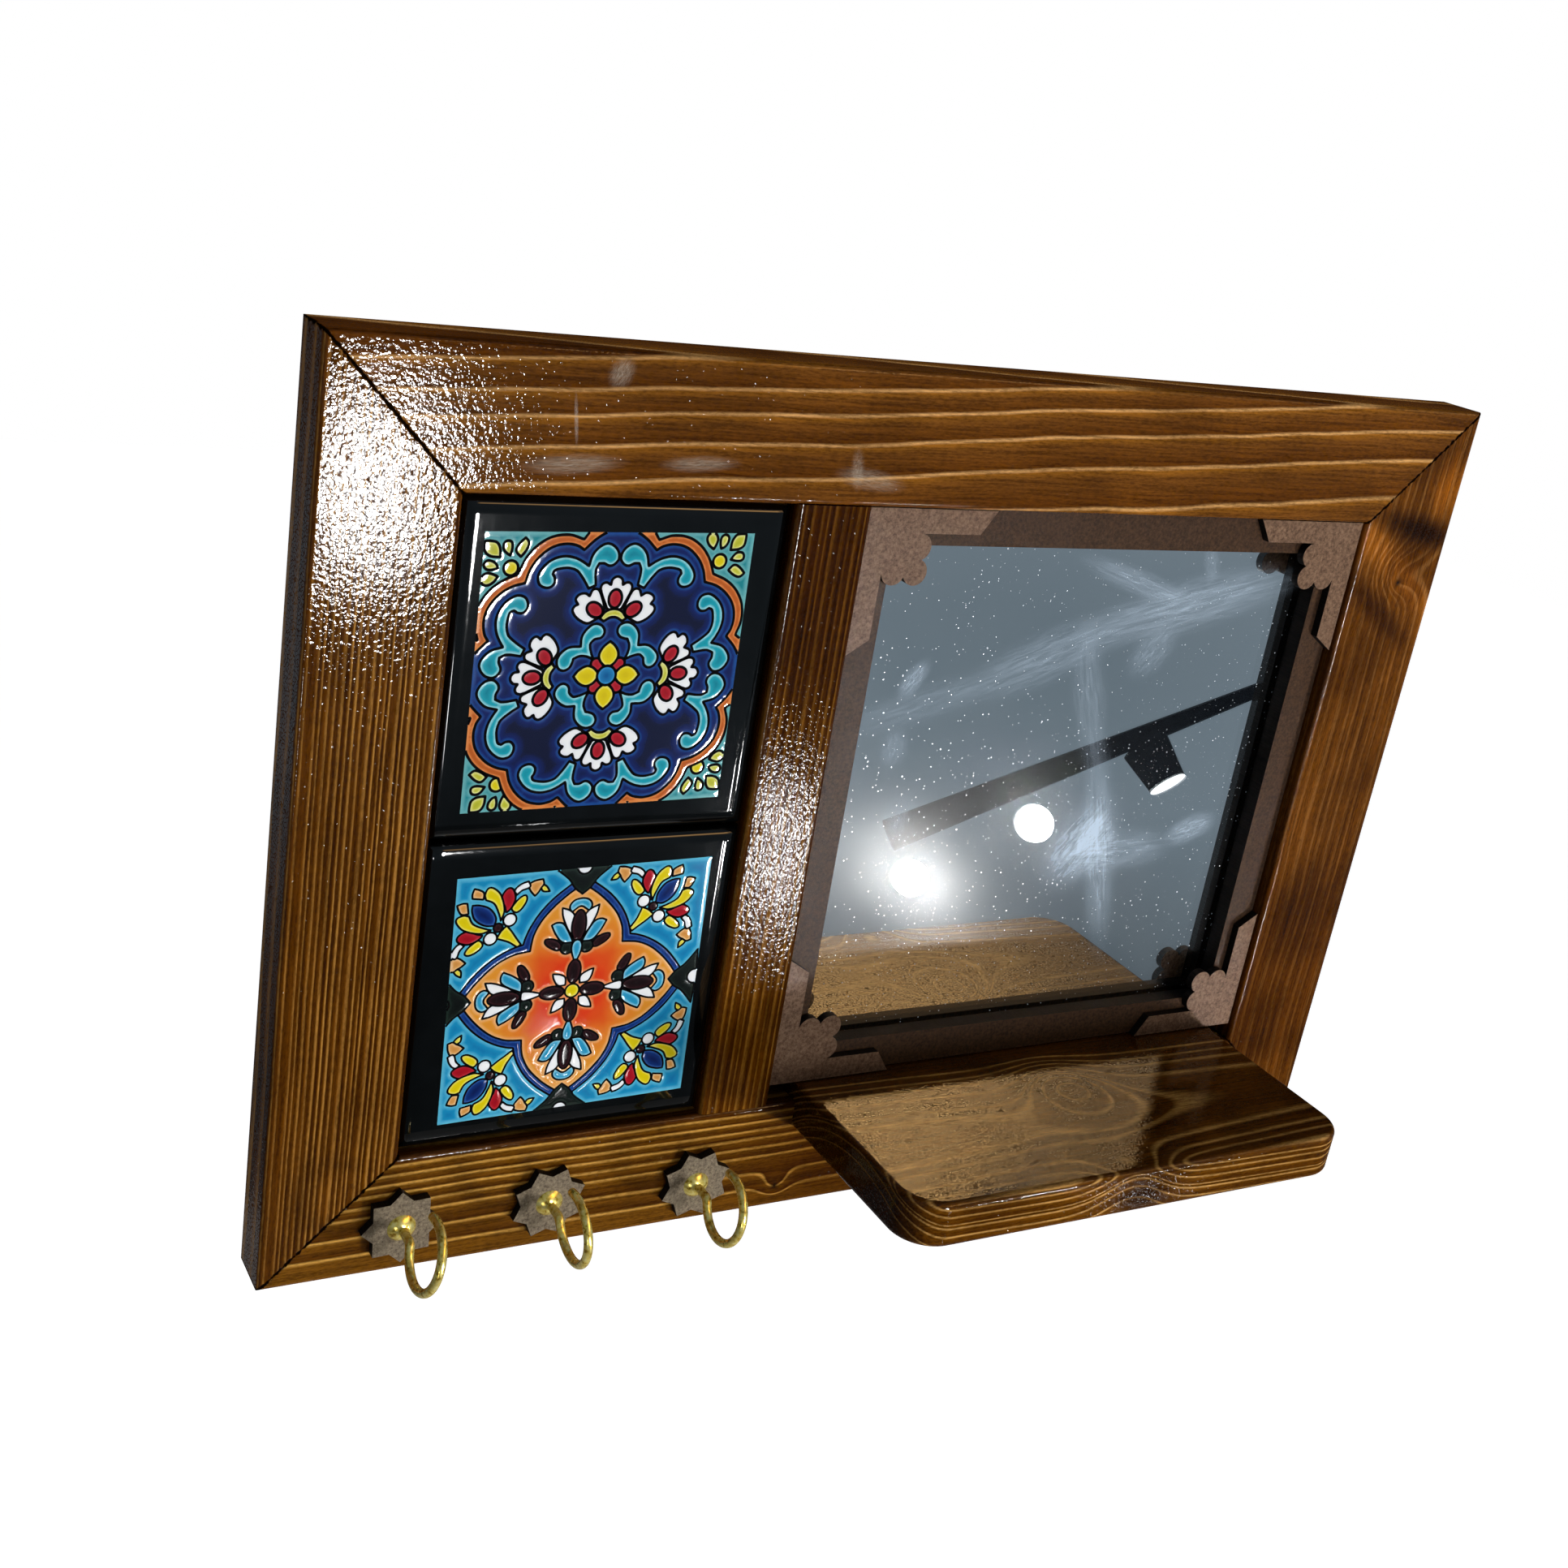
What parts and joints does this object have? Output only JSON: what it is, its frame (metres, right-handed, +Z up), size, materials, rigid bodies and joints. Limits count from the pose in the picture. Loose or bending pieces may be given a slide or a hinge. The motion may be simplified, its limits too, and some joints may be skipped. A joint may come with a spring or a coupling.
{
  "type": "wall mirror with hooks",
  "caption": "Wooden wall frame with a mirror, inlaid glazed tiles, a small shelf under the mirror and brass cup hooks on wooden rosettes along the bottom rail.",
  "frame": {"origin": "on the wall plane, at the centre of the frame's back", "axes": "+X to the right seen from the front, +Y back into the wall, +Z up"},
  "size_m": [0.4072, 0.093, 0.282],
  "materials": {
    "stained_pine": "walnut-brown stain under gloss varnish",
    "beech_dowel": "plain, fluted",
    "glazed_tile": "glossy glaze in raised pools of turquoise, navy, orange and white, black edges",
    "fibre_board": "raw fibre board, grey-brown",
    "surround_board": "laser-cut fibre board, grey-brown face, charred edges",
    "mirror_glass": "silvered glass",
    "hardboard": "smooth brown hardboard",
    "zinc_steel": "zinc plated",
    "hook_brass": "polished"
  },
  "bodies": {
    "root": {"left_stile": "stained_pine", "right_stile": "stained_pine", "top_rail": "stained_pine", "bottom_rail": "stained_pine", "mullion": "stained_pine", "mitre_dowels": "beech_dowel", "mullion_dowels": "beech_dowel", "upper_tile": "glazed_tile", "lower_tile": "glazed_tile", "tile_packing": "fibre_board", "mirror_glass": "mirror_glass", "rear_ring": "surround_board", "front_ring": "surround_board", "ornament_top_left": "surround_board", "ornament_top_right": "surround_board", "ornament_bottom_left": "surround_board", "ornament_bottom_right": "surround_board", "back_panel": "hardboard", "panel_screws": "zinc_steel", "shelf": "stained_pine", "shelf_screws": "zinc_steel", "hook_left": "hook_brass", "hook_middle": "hook_brass", "hook_right": "hook_brass", "rosette_left": "surround_board", "rosette_middle": "surround_board", "rosette_right": "surround_board", "hanging_plate_left": "zinc_steel", "hanging_plate_right": "zinc_steel", "hanging_screws": "zinc_steel"}
  },
  "joints": []
}
